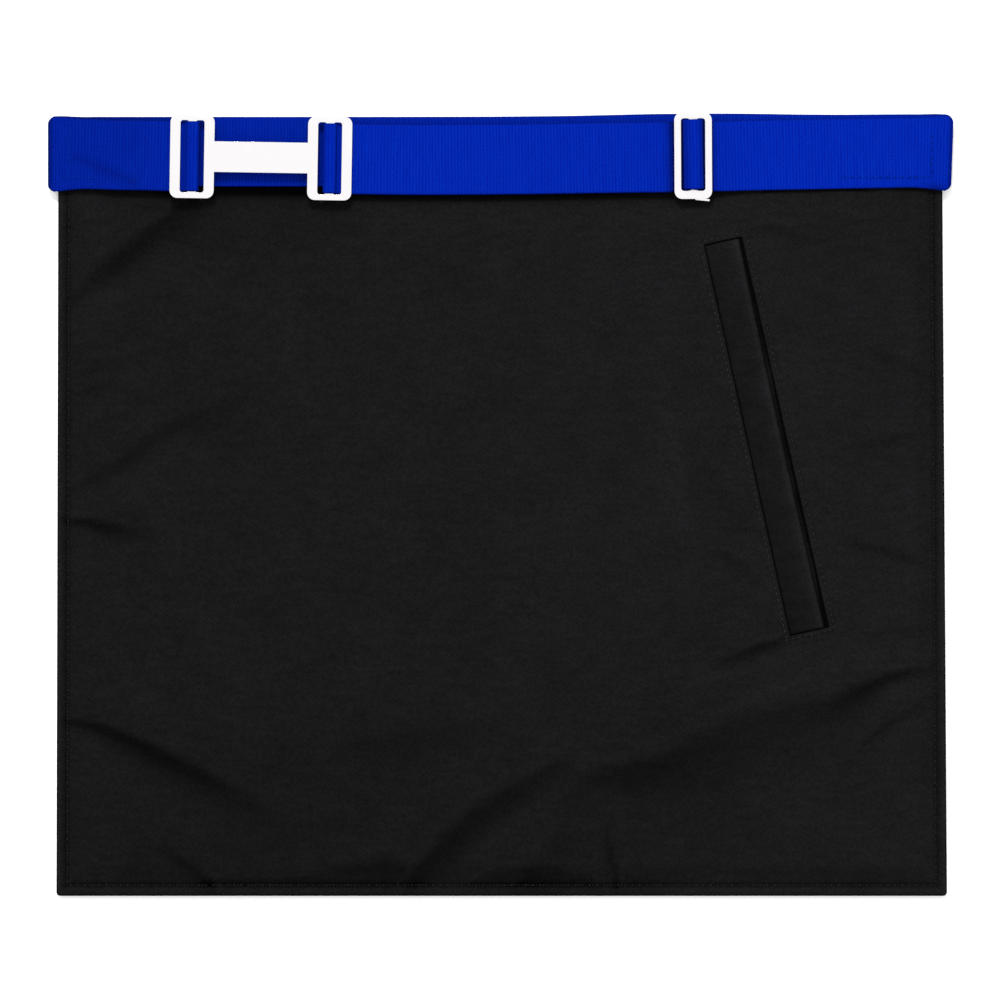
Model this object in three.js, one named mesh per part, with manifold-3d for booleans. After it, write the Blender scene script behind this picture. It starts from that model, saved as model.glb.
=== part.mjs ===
import * as THREE from 'three';
import { mergeVertices } from 'three/addons/utils/BufferGeometryUtils.js';
import Module from 'manifold-3d';

// A regalia apron lying face down, seen from behind. Millimetres.
// X runs across the waist, Y from the hem up to the belt, Z up from the floor.

const degree = Math.PI / 180;

// Body
const hemWidth = 408.8;
const waistWidth = 405.6;
const bodyHeight = 356;
const hemShift = 0.7; // of the hem's middle to the right of the waist's
const cornerRadius = 2;
const frontThickness = 1.5;
const liningThickness = 1;
const clearance = 0.3; // between pieces that lie on each other
const hemInset = 5; // from the edge to the hem's stitches
const liningSlack = 2.4; // how far the loose lining puffs off the front panel
const creaseSpread = 7;
const hemRunOut = 6; // over which the lining sinks to its stitches
const liningColumns = 42;
const liningRows = 32;

// Pocket, measured from the body's middle line and from the hem
const weltWidth = 16.5;
const weltLength = 183;
const weltThickness = 1.8;
const weltTilt = 12.4 * degree;
const weltAcross = 122.2;
const weltAbove = 211;
const slitWidth = 1.4; // at the ends of the welt's free edge
const slitBulge = 1.6; // what the slit opens more at mid-length
const weltStitches = 3.3; // from the welt's window to the stitches round it
const bagReach = 32; // from the welt to the bag's far edge
const bagMargin = 5; // of the bag beyond the welt's ends and the slit
const bagThickness = 1;

// Belt webbing
const webWidth = 32;
const webThickness = 1.2;
const waistbandWidth = 34.5;
const waistbandDrop = 15.2; // of its middle line below the body's top edge
const waistbandTilt = 0.08 * degree;
const foldOverhang = 4.6; // of the belt's folds past the body's waist
const foldFlare = 18; // length over which the strap widens into a fold
const foldCorner = 2.7; // rounding of a fold's corners in plan
const rightFoldLean = -2 * degree;
const foldedEnd = 28; // strap end turned back under the clasp
const strapRamp = 8;
const webStep = 16; // between the sections of a straight run
const bendStep = 30 * degree; // between the sections of a bend

// Slide adjuster and clasp: frames of flat bar, each with a middle bar for the web
const barThickness = 1.8;
const barEdge = 0.4;
const middleBar = 3;
const webSlot = 3.95;
const slotPlay = 0.7; // beside each edge of the web
const slideSideBar = 3.7;
const slideEndBar = 3.4;
const slideAcross = 88.7;
const slideCorner = 3;
const slotCorner = 1;
const claspSideBar = 4.6;
const claspEndBar = 2.6;
const claspSpan = 63; // between the middle bars of its two frames
const claspAcross = -109.5;
const claspLink = 14;

// Levels of the layers, from the floor up
const liningBase = frontThickness + clearance;
const bagTop = liningBase + bagThickness;
const liningOverBag = bagTop + clearance - liningBase;
const webPitch = webThickness + clearance;
const waistbandLevel = liningBase + liningThickness + clearance + webThickness / 2;
const returnLevel = waistbandLevel + webPitch;
const strapLevel = returnLevel + webPitch;
const barBase = strapLevel + webThickness / 2 + clearance;
const overBarLevel = barBase + barThickness + clearance + webThickness / 2;
const overLoopLevel = overBarLevel + webPitch;

// Places that follow from the sizes
const waistHalf = waistWidth / 2;
const hemHalf = hemWidth / 2;
const foldAcross = waistHalf + foldOverhang - webThickness / 2;
const waistbandAbove = bodyHeight - waistbandDrop;
const beltEdge = waistbandAbove - waistbandWidth / 2 - clearance * 4;
const liningCell = Math.hypot(hemWidth / liningColumns, beltEdge / liningRows);
const loopReach = middleBar / 2 + clearance + webThickness / 2;
const overLoopReach = loopReach + webPitch;

// Creases of the lining: ends as shares of half the hem's width and of the body's height,
// depth and spread as shares of liningSlack and creaseSpread. A negative depth is a ridge
const liningCreases = [
    { fromX: -0.96, fromY: 0.486, toX: -0.74, toY: 0.47, depth: 1.0, spread: 0.9 },
    { fromX: -0.95, fromY: 0.227, toX: -0.5, toY: 0.1, depth: 1.0, spread: 1.2 },
    { fromX: -0.95, fromY: 0.78, toX: -0.72, toY: 0.875, depth: 0.9, spread: 1.2 },
    { fromX: -0.95, fromY: 0.533, toX: -0.56, toY: 0.645, depth: 0.5, spread: 1.2 },
    { fromX: -0.2, fromY: 0.05, toX: 0.16, toY: 0.175, depth: 0.9, spread: 1.3 },
    { fromX: 0.96, fromY: 0.294, toX: 0.66, toY: 0.235, depth: 0.7, spread: 0.9 },
    { fromX: 0.66, fromY: 0.235, toX: 0.14, toY: 0.148, depth: 0.6, spread: 1.8 },
    { fromX: 0.265, fromY: 0.02, toX: 0.24, toY: 0.09, depth: 0.6, spread: 0.8 },
    { fromX: -0.64, fromY: 0.02, toX: -0.77, toY: 0.065, depth: 0.7, spread: 0.9 },
    { fromX: -0.42, fromY: 0.02, toX: -0.22, toY: 0.075, depth: 0.8, spread: 1.6 },
    { fromX: -0.02, fromY: 0.02, toX: 0.17, toY: 0.035, depth: 0.8, spread: 1.6 },
    { fromX: 0.96, fromY: 0.423, toX: 0.78, toY: 0.453, depth: 0.4, spread: 0.8 },
    { fromX: 0.96, fromY: 0.25, toX: 0.8, toY: 0.178, depth: 0.4, spread: 0.9 },
    { fromX: 0.96, fromY: 0.78, toX: 0.56, toY: 0.86, depth: 0.35, spread: 1.0 },
    { fromX: 0.96, fromY: 0.67, toX: 0.83, toY: 0.72, depth: 0.3, spread: 0.9 },
    { fromX: 0.64, fromY: 0.331, toX: 0.37, toY: 0.28, depth: 0.5, spread: 1.0 },
    { fromX: 0.458, fromY: 0.405, toX: 0.368, toY: 0.68, depth: -0.25, spread: 1.2 },
];

// Middle line of the straps over the waistband: place as a share of the fold's distance
// from the middle, shift as a share of the web's width
const strapLine = [
    { along: -1, shift: 0 },
    { along: -0.93, shift: 0.016 },
    { along: -0.77, shift: -0.01 },
    { along: -0.28, shift: -0.083 },
    { along: -0.15, shift: -0.086 },
    { along: 0.05, shift: -0.07 },
    { along: 0.33, shift: -0.042 },
    { along: 0.53, shift: -0.021 },
    { along: 0.74, shift: 0.003 },
    { along: 0.9, shift: 0.026 },
    { along: 1, shift: 0 },
];

const wasm = await Module();
wasm.setup();

function ease(start, end, value) {
    return THREE.MathUtils.smoothstep((value - start) / (end - start), 0, 1);
}

function bodyHalfWidth(y) {
    return THREE.MathUtils.lerp(hemHalf, waistHalf, y / bodyHeight);
}

function bodyMiddle(y) {
    return THREE.MathUtils.lerp(hemShift, 0, y / bodyHeight);
}

// A closed solid's vertices are merged, so that it can be cut and joined
function toSolid(geometry) {
    const bare = geometry.clone();
    bare.deleteAttribute('normal');
    bare.deleteAttribute('uv');
    const merged = mergeVertices(bare);
    return new wasm.Manifold(new wasm.Mesh({
        numProp: 3,
        vertProperties: new Float32Array(merged.attributes.position.array),
        triVerts: new Uint32Array(merged.index.array),
    }));
}

function toGeometry(solid) {
    const mesh = solid.getMesh();
    const geometry = new THREE.BufferGeometry();
    geometry.setAttribute('position', new THREE.BufferAttribute(mesh.vertProperties, 3));
    geometry.setIndex(new THREE.BufferAttribute(mesh.triVerts, 1));
    geometry.computeVertexNormals();
    return geometry;
}

// Front panel: a flat sheet with its good side on the floor
function makeFrontPanel() {
    const outline = new THREE.Shape();
    const left = hemShift - hemHalf + cornerRadius;
    const right = hemShift + hemHalf - cornerRadius;
    outline.moveTo(left, 0);
    outline.lineTo(right, 0);
    outline.absarc(right, cornerRadius, cornerRadius, -Math.PI / 2, 0, false);
    outline.lineTo(waistHalf, bodyHeight);
    outline.lineTo(-waistHalf, bodyHeight);
    outline.lineTo(left - cornerRadius, cornerRadius);
    outline.absarc(left, cornerRadius, cornerRadius, Math.PI, Math.PI * 1.5, false);
    return new THREE.ExtrudeGeometry(outline, {
        depth: frontThickness,
        bevelEnabled: false,
        curveSegments: 4,
    });
}

// The pocket's own axes: across the welt, and along it towards the waist
const pocketTurn = new THREE.Matrix4()
    .makeTranslation(weltAcross, weltAbove, 0)
    .multiply(new THREE.Matrix4().makeRotationZ(weltTilt));
const pocketFrame = pocketTurn.clone().invert();

const weltBox = {
    left: -weltWidth / 2 - clearance,
    right: weltWidth / 2 + slitWidth,
    end: weltLength / 2 + clearance,
};

const bagBox = {
    left: -weltWidth / 2 - bagReach,
    right: weltWidth / 2 + slitWidth + bagMargin,
    end: weltLength / 2 + bagMargin,
};

function makePocketBag() {
    const width = bagBox.right - bagBox.left;
    const bag = new THREE.BoxGeometry(width, bagBox.end * 2, bagThickness);
    bag.translate(bagBox.left + width / 2, 0, liningBase + bagThickness / 2);
    return bag.applyMatrix4(pocketTurn);
}

// How far a crease sinks the lining at a point: deepest where it leaves the hem
function creaseDepth(crease, x, y) {
    const start = new THREE.Vector2(crease.fromX * hemHalf, crease.fromY * bodyHeight);
    const run = new THREE.Vector2(crease.toX * hemHalf, crease.toY * bodyHeight).sub(start);
    const point = new THREE.Vector2(x, y).sub(start);
    const along = THREE.MathUtils.clamp(point.dot(run) / run.lengthSq(), 0, 1);
    const away = point.distanceTo(run.clone().multiplyScalar(along));
    const spread = crease.spread * creaseSpread;
    return crease.depth * liningSlack * (1 - along / 2) * Math.exp(-((away / spread) ** 2));
}

function pocketOutside(box, x, y) {
    const place = new THREE.Vector3(x, y, 0).applyMatrix4(pocketFrame);
    return Math.hypot(
        Math.max(0, box.left - place.x, place.x - box.right),
        Math.max(0, Math.abs(place.y) - box.end),
    );
}

function bagLift(x, y) {
    const belowBelt = ease(0, beltEdge / liningRows / 2, beltEdge - y);
    const outside = pocketOutside(bagBox, x, y);
    return liningOverBag * belowBelt * (1 - ease(liningCell, liningCell * 2, outside));
}

// The lining lies flat along its hem, under the belt and on the bag round the welt,
// and puffs up between them
function liningLift(x, y) {
    const fromSide = bodyHalfWidth(y) - Math.abs(x - bodyMiddle(y));
    const fromHem = Math.min(fromSide, y) - hemInset;
    const fromWelt = pocketOutside(weltBox, x, y) - weltStitches;
    const free = ease(0, hemRunOut, fromHem) * ease(0, creaseSpread * 2, beltEdge - y);
    let lift = liningSlack * ease(0, creaseSpread * 2, fromWelt);
    for (const crease of liningCreases) {
        lift -= creaseDepth(crease, x, y);
    }
    return Math.max(lift * free, bagLift(x, y));
}

// Even places between two lines of the lining, and its edges outside them
function liningStops(first, last, length, count) {
    const stops = [0];
    for (let i = 0; i <= count; i += 1) {
        stops.push(THREE.MathUtils.lerp(first, last, i / count));
    }
    stops.push(length);
    return stops;
}

function makeLining() {
    const across = liningStops(hemInset, hemWidth - hemInset, hemWidth, liningColumns);
    const above = liningStops(hemInset, beltEdge, bodyHeight, liningRows);
    const width = across.length;
    const layer = width * above.length;
    const cut = cornerRadius * (1 - Math.SQRT1_2);
    const positions = [];
    for (const thickness of [0, liningThickness]) {
        for (const y of above) {
            for (const stop of across) {
                const share = stop / hemHalf - 1;
                const atCorner = y === 0 && Math.abs(share) === 1 ? cut : 0;
                const x = bodyMiddle(y) + share * (bodyHalfWidth(y) - atCorner);
                positions.push(x, y + atCorner, liningBase + thickness + liningLift(x, y));
            }
        }
    }
    const faces = [];
    const quad = (a, b, c, d) => faces.push(a, b, c, a, c, d);
    for (let row = 0; row < above.length - 1; row += 1) {
        for (let column = 0; column < width - 1; column += 1) {
            const a = row * width + column;
            quad(a, a + width, a + width + 1, a + 1);
            quad(layer + a, layer + a + 1, layer + a + width + 1, layer + a + width);
        }
        const left = row * width;
        const right = left + width - 1;
        quad(left, layer + left, layer + left + width, left + width);
        quad(right, right + width, layer + right + width, layer + right);
    }
    const lastRow = width * (above.length - 1);
    for (let column = 0; column < width - 1; column += 1) {
        const top = lastRow + column;
        quad(column, column + 1, layer + column + 1, layer + column);
        quad(top, layer + top, layer + top + 1, top + 1);
    }
    const sheet = new THREE.BufferGeometry();
    sheet.setAttribute('position', new THREE.Float32BufferAttribute(positions, 3));
    sheet.setIndex(faces);

    // The welt's window, with the slit bowed out along its right side
    const window = new THREE.Shape();
    window.moveTo(weltBox.left, -weltBox.end);
    window.lineTo(weltBox.right, -weltBox.end);
    window.quadraticCurveTo(weltBox.right + slitBulge * 2, 0, weltBox.right, weltBox.end);
    window.lineTo(weltBox.left, weltBox.end);
    const cutter = new THREE.ExtrudeGeometry(window, {
        depth: barBase,
        bevelEnabled: false,
        curveSegments: 10,
    });
    cutter.applyMatrix4(pocketTurn);
    return toGeometry(toSolid(sheet).subtract(toSolid(cutter)));
}

// Welt: a strip folded double, its fold rounded along the slit
function makePocketWelt() {
    const radius = weltThickness / 2;
    const section = new THREE.Shape();
    section.moveTo(-weltWidth / 2, 0);
    section.lineTo(weltWidth / 2 - radius, 0);
    section.absarc(weltWidth / 2 - radius, radius, radius, -Math.PI / 2, Math.PI / 2, false);
    section.lineTo(-weltWidth / 2, weltThickness);
    const welt = new THREE.ExtrudeGeometry(section, {
        depth: weltLength,
        bevelEnabled: false,
        curveSegments: 6,
    });
    welt.rotateX(Math.PI / 2);
    welt.translate(0, weltLength / 2, bagTop + clearance);
    return welt.applyMatrix4(pocketTurn);
}

function waistbandMiddle(x) {
    return waistbandAbove + x * Math.tan(waistbandTilt);
}

function strapMiddle(x) {
    const along = THREE.MathUtils.clamp(x / foldAcross, -1, 1);
    const next = Math.max(1, strapLine.findIndex((stop) => stop.along >= along));
    const before = strapLine[next - 1];
    const after = strapLine[next];
    const share = (along - before.along) / (after.along - before.along);
    return waistbandMiddle(x) + THREE.MathUtils.lerp(before.shift, after.shift, share) * webWidth;
}

function strapLean(x) {
    const reach = foldFlare / 2;
    return Math.atan2(strapMiddle(x + reach) - strapMiddle(x - reach), reach * 2);
}

// Rounds the corners of a path in the XZ plane and adds stops along its straight runs
function roundedPath(corners) {
    const points = [];
    const add = (point) => {
        const last = points[points.length - 1];
        if (last && last.distanceTo(point) < clearance / 10) {
            return;
        }
        const steps = last ? Math.ceil(last.distanceTo(point) / webStep) : 1;
        for (let i = 1; i < steps; i += 1) {
            points.push(last.clone().lerp(point, i / steps));
        }
        points.push(point);
    };
    corners.forEach((corner, index) => {
        const here = new THREE.Vector2(corner.x, corner.z);
        if (index === 0 || index === corners.length - 1) {
            add(here);
            return;
        }
        const towards = (other) => new THREE.Vector2(other.x, other.z).sub(here).normalize();
        const back = towards(corners[index - 1]);
        const ahead = towards(corners[index + 1]);
        const half = Math.acos(THREE.MathUtils.clamp(back.dot(ahead), -1, 1)) / 2;
        const inset = corner.radius / Math.tan(half);
        const middle = back.clone().add(ahead).setLength(corner.radius / Math.sin(half)).add(here);
        const start = back.clone().multiplyScalar(inset).add(here);
        const end = ahead.clone().multiplyScalar(inset).add(here);
        let turn = end.clone().sub(middle).angle() - start.clone().sub(middle).angle();
        turn -= Math.round(turn / (2 * Math.PI)) * 2 * Math.PI;
        const steps = Math.max(1, Math.round(Math.abs(turn) / bendStep));
        for (let i = 0; i <= steps; i += 1) {
            add(start.clone().rotateAround(middle, (turn * i) / steps));
        }
    });
    return points;
}

// The belt is one web: its end is looped on the slide's middle bar, runs to the clasp, comes back
// over itself through the slide, folds at the right, runs across the apron's back as the waistband,
// folds at the left and ends round the clasp's other middle bar
function beltPath() {
    const foldRadius = webPitch / 2;
    const bend = webThickness;
    const claspLeft = claspAcross - claspSpan / 2;
    const claspRight = claspAcross + claspSpan / 2;
    const slideEdge = slideAcross + middleBar / 2 + webSlot + slideSideBar;
    const leftRamp = claspLeft - foldedEnd - strapRamp;
    const at = (x, z, radius = bend) => ({ x, z, radius });
    return roundedPath([
        at(slideAcross + loopReach / 2, strapLevel),
        at(slideAcross - loopReach, strapLevel),
        at(slideAcross - loopReach, overBarLevel),
        at(slideAcross + loopReach, overBarLevel),
        at(slideAcross + loopReach, returnLevel),
        at(claspRight - loopReach, returnLevel),
        at(claspRight - loopReach, overBarLevel),
        at(claspRight + loopReach, overBarLevel),
        at(claspRight + loopReach, strapLevel),
        at(slideAcross - overLoopReach, strapLevel),
        at(slideAcross - overLoopReach, overLoopLevel),
        at(slideAcross + overLoopReach, overLoopLevel),
        at(slideAcross + overLoopReach, strapLevel),
        at(slideEdge, strapLevel),
        at(slideEdge + strapRamp, returnLevel),
        at(foldAcross, returnLevel, foldRadius),
        at(foldAcross, waistbandLevel, foldRadius),
        at(-foldAcross, waistbandLevel, foldRadius),
        at(-foldAcross, returnLevel, foldRadius),
        at(leftRamp - strapRamp, returnLevel),
        at(leftRamp, strapLevel),
        at(claspLeft - loopReach, strapLevel),
        at(claspLeft - loopReach, overBarLevel),
        at(claspLeft + loopReach, overBarLevel),
        at(claspLeft + loopReach, returnLevel),
        at(claspLeft - foldedEnd, returnLevel),
    ]);
}

function makeBelt() {
    const path = beltPath();
    const positions = [];
    path.forEach((point, index) => {
        const before = path[Math.max(0, index - 1)];
        const after = path[Math.min(path.length - 1, index + 1)];
        const direction = after.clone().sub(before).normalize();
        const isWaistband = point.y < waistbandLevel + foldCorner / 10;
        const middle = isWaistband ? waistbandMiddle(point.x) : strapMiddle(point.x);
        const toFold = Math.max(0, foldAcross - Math.abs(point.x));
        const folded = 1 - ease(0, foldFlare, toFold);
        const openWidth = isWaistband ? waistbandWidth : webWidth;
        const openLean = isWaistband ? waistbandTilt : strapLean(point.x);
        const foldLean = point.x > 0 ? rightFoldLean : 0;
        const lean = THREE.MathUtils.lerp(openLean, foldLean, folded);
        const round = Math.max(0, foldCorner - toFold) / foldCorner;
        const roundedOff = foldCorner * (1 - Math.sqrt(1 - Math.min(1, round) ** 2));
        const half = THREE.MathUtils.lerp(openWidth, waistbandWidth, folded) / 2 - roundedOff;
        for (const [side, face] of [[-1, -1], [1, -1], [1, 1], [-1, 1]]) {
            const out = (face * webThickness) / 2;
            positions.push(
                point.x - side * half * Math.sin(lean) - out * direction.y,
                middle + side * half * Math.cos(lean),
                point.y + out * direction.x,
            );
        }
    });
    const faces = [];
    const corners = 4;
    for (let index = 0; index < path.length - 1; index += 1) {
        for (let corner = 0; corner < corners; corner += 1) {
            const a = index * corners + corner;
            const b = index * corners + ((corner + 1) % corners);
            faces.push(a, b, b + corners, a, b + corners, a + corners);
        }
    }
    const last = (path.length - 1) * corners;
    faces.push(0, 2, 1, 0, 3, 2, last, last + 1, last + 2, last, last + 2, last + 3);
    const belt = new THREE.BufferGeometry();
    belt.setAttribute('position', new THREE.Float32BufferAttribute(positions, 3));
    belt.setIndex(faces);
    belt.computeVertexNormals();
    return belt;
}

function roundedBox(path, across, width, height, radius) {
    const left = across - width / 2 + radius;
    const right = across + width / 2 - radius;
    const top = height / 2 - radius;
    path.moveTo(left, -top - radius);
    path.lineTo(right, -top - radius);
    path.absarc(right, -top, radius, -Math.PI / 2, 0, false);
    path.lineTo(right + radius, top);
    path.absarc(right, top, radius, 0, Math.PI / 2, false);
    path.lineTo(left, top + radius);
    path.absarc(left, top, radius, Math.PI / 2, Math.PI, false);
    path.lineTo(left - radius, -top);
    path.absarc(left, -top, radius, Math.PI, Math.PI * 1.5, false);
}

// A frame of flat bar with two slots, one on each side of the bar that the web goes round
function makeWebFrame(sideBar, endBar) {
    const slotHeight = webWidth + slotPlay * 2;
    const width = middleBar + (webSlot + sideBar) * 2;
    const height = slotHeight + endBar * 2;
    const bevel = barEdge * 2;
    const outline = new THREE.Shape();
    roundedBox(outline, 0, width - bevel, height - bevel, slideCorner - barEdge);
    for (const side of [-1, 1]) {
        const slot = new THREE.Path();
        const across = (side * (middleBar + webSlot)) / 2;
        roundedBox(slot, across, webSlot + bevel, slotHeight + bevel, slotCorner + barEdge);
        outline.holes.push(slot);
    }
    const frame = new THREE.ExtrudeGeometry(outline, {
        depth: barThickness - barEdge * 2,
        bevelThickness: barEdge,
        bevelSize: barEdge,
        bevelSegments: 1,
        curveSegments: 4,
    });
    frame.translate(0, 0, barEdge);
    return frame;
}

function makeClasp() {
    const frame = toSolid(makeWebFrame(claspSideBar, claspEndBar));
    const inner = middleBar / 2 + webSlot + claspSideBar / 2;
    const link = new THREE.BoxGeometry(claspSpan - inner * 2, claspLink, barThickness);
    link.translate(0, 0, barThickness / 2);
    const left = frame.translate([-claspSpan / 2, 0, 0]);
    const right = frame.translate([claspSpan / 2, 0, 0]);
    return toGeometry(left.add(right).add(toSolid(link)));
}

const blackCloth = { color: 0x1b1b1b, roughness: 0.85, metalness: 0 };
const frontCloth = { color: 0x161616, roughness: 0.7, metalness: 0 };
const blueWeb = { color: 0x0226b1, roughness: 0.75, metalness: 0 };
const nickel = { color: 0xd9d8d4, roughness: 0.15, metalness: 1 };

const apron = new THREE.Group();

function addPiece(name, geometry, finish) {
    const mesh = new THREE.Mesh(geometry, new THREE.MeshStandardMaterial(finish));
    mesh.name = name;
    apron.add(mesh);
    return mesh;
}

addPiece('front_panel', makeFrontPanel(), frontCloth);
addPiece('pocket_bag', makePocketBag(), blackCloth);
addPiece('lining', makeLining(), blackCloth);
addPiece('pocket_welt', makePocketWelt(), blackCloth);
addPiece('belt_webbing', makeBelt(), blueWeb);

const slide = addPiece('slide_adjuster', makeWebFrame(slideSideBar, slideEndBar), nickel);
slide.position.set(slideAcross, strapMiddle(slideAcross), barBase);
slide.rotation.z = strapLean(slideAcross);

const clasp = addPiece('clasp', makeClasp(), nickel);
clasp.position.set(claspAcross, strapMiddle(claspAcross), barBase);
clasp.rotation.z = strapLean(claspAcross);

// The origin is the middle of the part's box, on the floor
const group = new THREE.Group();
group.add(apron);
group.updateMatrixWorld(true);
const bounds = new THREE.Box3().setFromObject(apron, true);
const middle = bounds.getCenter(new THREE.Vector3());
apron.position.set(-middle.x, -middle.y, -bounds.min.z);

export default group;
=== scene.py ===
from functools import partial
import math

import bpy
import numpy as np
from mathutils import Matrix, Vector


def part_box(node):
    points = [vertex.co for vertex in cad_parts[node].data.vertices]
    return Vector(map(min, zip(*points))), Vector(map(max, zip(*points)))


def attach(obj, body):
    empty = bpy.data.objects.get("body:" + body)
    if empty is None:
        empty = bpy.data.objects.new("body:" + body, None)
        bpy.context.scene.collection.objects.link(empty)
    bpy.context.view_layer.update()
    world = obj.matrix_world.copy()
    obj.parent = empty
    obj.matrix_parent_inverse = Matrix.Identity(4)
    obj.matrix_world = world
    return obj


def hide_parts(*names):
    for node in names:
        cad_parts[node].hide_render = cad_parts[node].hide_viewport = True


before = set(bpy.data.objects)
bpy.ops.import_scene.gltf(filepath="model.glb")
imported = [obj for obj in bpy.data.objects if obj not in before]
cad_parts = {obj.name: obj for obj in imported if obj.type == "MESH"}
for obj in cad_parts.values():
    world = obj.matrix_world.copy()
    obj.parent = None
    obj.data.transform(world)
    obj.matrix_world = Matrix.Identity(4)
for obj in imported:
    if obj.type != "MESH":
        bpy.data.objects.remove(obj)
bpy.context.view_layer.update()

mm = 0.001

# The apron lies face down. Its own measures start at the hem and at the body's middle line,
# in millimetres; the front panel's box says where those lines are in the frame.
apron = {
    "hemWidth": 408.8,
    "waistWidth": 405.6,
    "height": 356.0,
    "hemShift": 0.7,        # of the hem's middle to the right of the waist's
    "corner": 2.0,
    "beltEdge": 322.3,      # lower edge of the belt, from the hem
}
panelLow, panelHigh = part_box("front_panel")
originX = (panelLow.x + panelHigh.x) / 2 / mm - apron["hemShift"]
originY = panelLow.y / mm


# Small helpers

def ease(start, end, value):
    share = np.clip((np.asarray(value, float) - start) / (end - start), 0, 1)
    return share * share * (3 - 2 * share)


def halfWidth(y):
    return (apron["hemWidth"] + (apron["waistWidth"] - apron["hemWidth"]) * y / apron["height"]) / 2


def middleLine(y):
    return apron["hemShift"] * (1 - y / apron["height"])


def linear(hexColour):
    parts = [int(hexColour[i:i + 2], 16) / 255 for i in (1, 3, 5)]
    return [c / 12.92 if c <= 0.04045 else ((c + 0.055) / 1.055) ** 2.4 for c in parts] + [1.0]


def addNode(tree, kind, inputs=None, **settings):
    # An input is a plain value, a socket, or a node whose first output it takes
    added = tree.nodes.new("ShaderNode" + kind)
    for name, value in settings.items():
        setattr(added, name, value)
    for socket, value in (inputs or {}).items():
        if isinstance(value, bpy.types.Node):
            value = value.outputs[0]
        if isinstance(value, bpy.types.NodeSocket):
            tree.links.new(value, added.inputs[socket])
        else:
            added.inputs[socket].default_value = value
    return added


def newMaterial(name):
    # The material, and what adds a node to it
    material = bpy.data.materials.new(name)
    material.use_nodes = True
    material.node_tree.nodes.clear()
    return material, partial(addNode, material.node_tree)


def fromTable(table, value):
    return np.interp(value, *np.array(table).T)


def selectOnly(*pieces):
    bpy.ops.object.select_all(action="DESELECT")
    for piece in pieces:
        piece.select_set(True)
    bpy.context.view_layer.objects.active = pieces[-1]


def tubeFaces(rings, count):
    # Rings of count points each, joined in their order, with a face over both ends
    faces = []
    for ring in range(rings - 1):
        for i in range(count):
            a, b = ring * count + i, ring * count + (i + 1) % count
            faces.append((a, b, b + count, a + count))
    last = (rings - 1) * count
    return faces + [tuple(range(count - 1, -1, -1)), tuple(range(last, last + count))]


def meshPiece(name, points, faces):
    mesh = bpy.data.meshes.new(name)
    placed = (np.asarray(points, float) + [originX, originY, 0]) * mm
    mesh.from_pydata(placed.tolist(), [], [list(map(int, f)) for f in faces])
    mesh.validate()
    piece = bpy.data.objects.new(name, mesh)
    bpy.context.collection.objects.link(piece)
    selectOnly(piece)
    bpy.ops.object.shade_smooth()
    return piece


def turnOutwards():
    # Every face of the piece at hand looks out
    bpy.ops.object.mode_set(mode="EDIT")
    bpy.ops.mesh.select_all(action="SELECT")
    bpy.ops.mesh.normals_make_consistent(inside=False)
    bpy.ops.object.mode_set(mode="OBJECT")


def dress(piece, material):
    piece.data.materials.clear()
    piece.data.materials.append(material)
    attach(piece, "root")


# Camera and light

view = {
    "lookAt": (-0.32, 1.67, 3.0),   # mm in the frame
    "span": 458.85,                  # mm across the picture, at that height
    "lens": 200,
    "sensor": 36,
    "sky": 1.3,
    "softbox": 62.0,
    "softboxPlace": (-0.25, 1.75, 1.95),
    "softboxSize": 0.55,
    "floor": "#f7f7f6",
}


def addCamera():
    distance = view["span"] * view["lens"] / view["sensor"]
    x, y, z = view["lookAt"]
    bpy.ops.object.camera_add(location=(x * mm, y * mm, (z + distance) * mm), rotation=(0, 0, 0))
    camera = bpy.context.object
    camera.name = "camera"
    camera.data.lens = view["lens"]
    camera.data.sensor_width = view["sensor"]
    camera.data.clip_start, camera.data.clip_end = 0.05, 50
    bpy.context.scene.camera = camera


def addLight():
    scene = bpy.context.scene
    scene.view_settings.view_transform = "Standard"
    scene.view_settings.look = "None"
    world = bpy.data.worlds.new("paleStudio")
    scene.world = world
    world.use_nodes = True
    background = world.node_tree.nodes["Background"]
    background.inputs["Color"].default_value = (1, 1, 1, 1)
    background.inputs["Strength"].default_value = view["sky"]
    bpy.ops.object.light_add(type="AREA", location=view["softboxPlace"])
    softbox = bpy.context.object
    softbox.name = "softbox"
    softbox.data.size = view["softboxSize"]
    softbox.data.energy = view["softbox"]
    softbox.rotation_euler = (-Vector(view["softboxPlace"])).to_track_quat("-Z", "Y").to_euler()
    bpy.ops.mesh.primitive_plane_add(size=12, location=(0, 0, -0.0001))
    floor = bpy.context.object
    floor.name = "floor"
    # Matt painted board: an even pale ground that mirrors nothing
    material, add = newMaterial("paintedBoardMatt")
    shader = add("BsdfPrincipled", {
        "Base Color": linear(view["floor"]), "Roughness": 0.9, "Specular IOR Level": 0.1})
    add("OutputMaterial", {"Surface": shader})
    floor.data.materials.append(material)


addCamera()
addLight()
print("camera, light and floor: done")


# Cloth finishes

def wovenLines(add, place, period, angle):
    # A sine across the given direction, its period in mm
    turn = 2 * math.pi / (period * mm)
    along = add("VectorMath", {
        0: place, 1: (math.cos(angle) * turn, math.sin(angle) * turn, 0)}, operation="DOT_PRODUCT")
    return add("Math", {0: along.outputs["Value"]}, operation="SINE")


def pressedIn(add):
    # What is left of the colour under the painted shade that the piece's own attribute holds; where it is
    # below 0 it is a painted highlight
    paintedShade = add("Attribute", attribute_name="paintedShade")
    return add("Math", {0: 1.0, 1: paintedShade.outputs["Fac"]}, operation="SUBTRACT")


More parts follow.
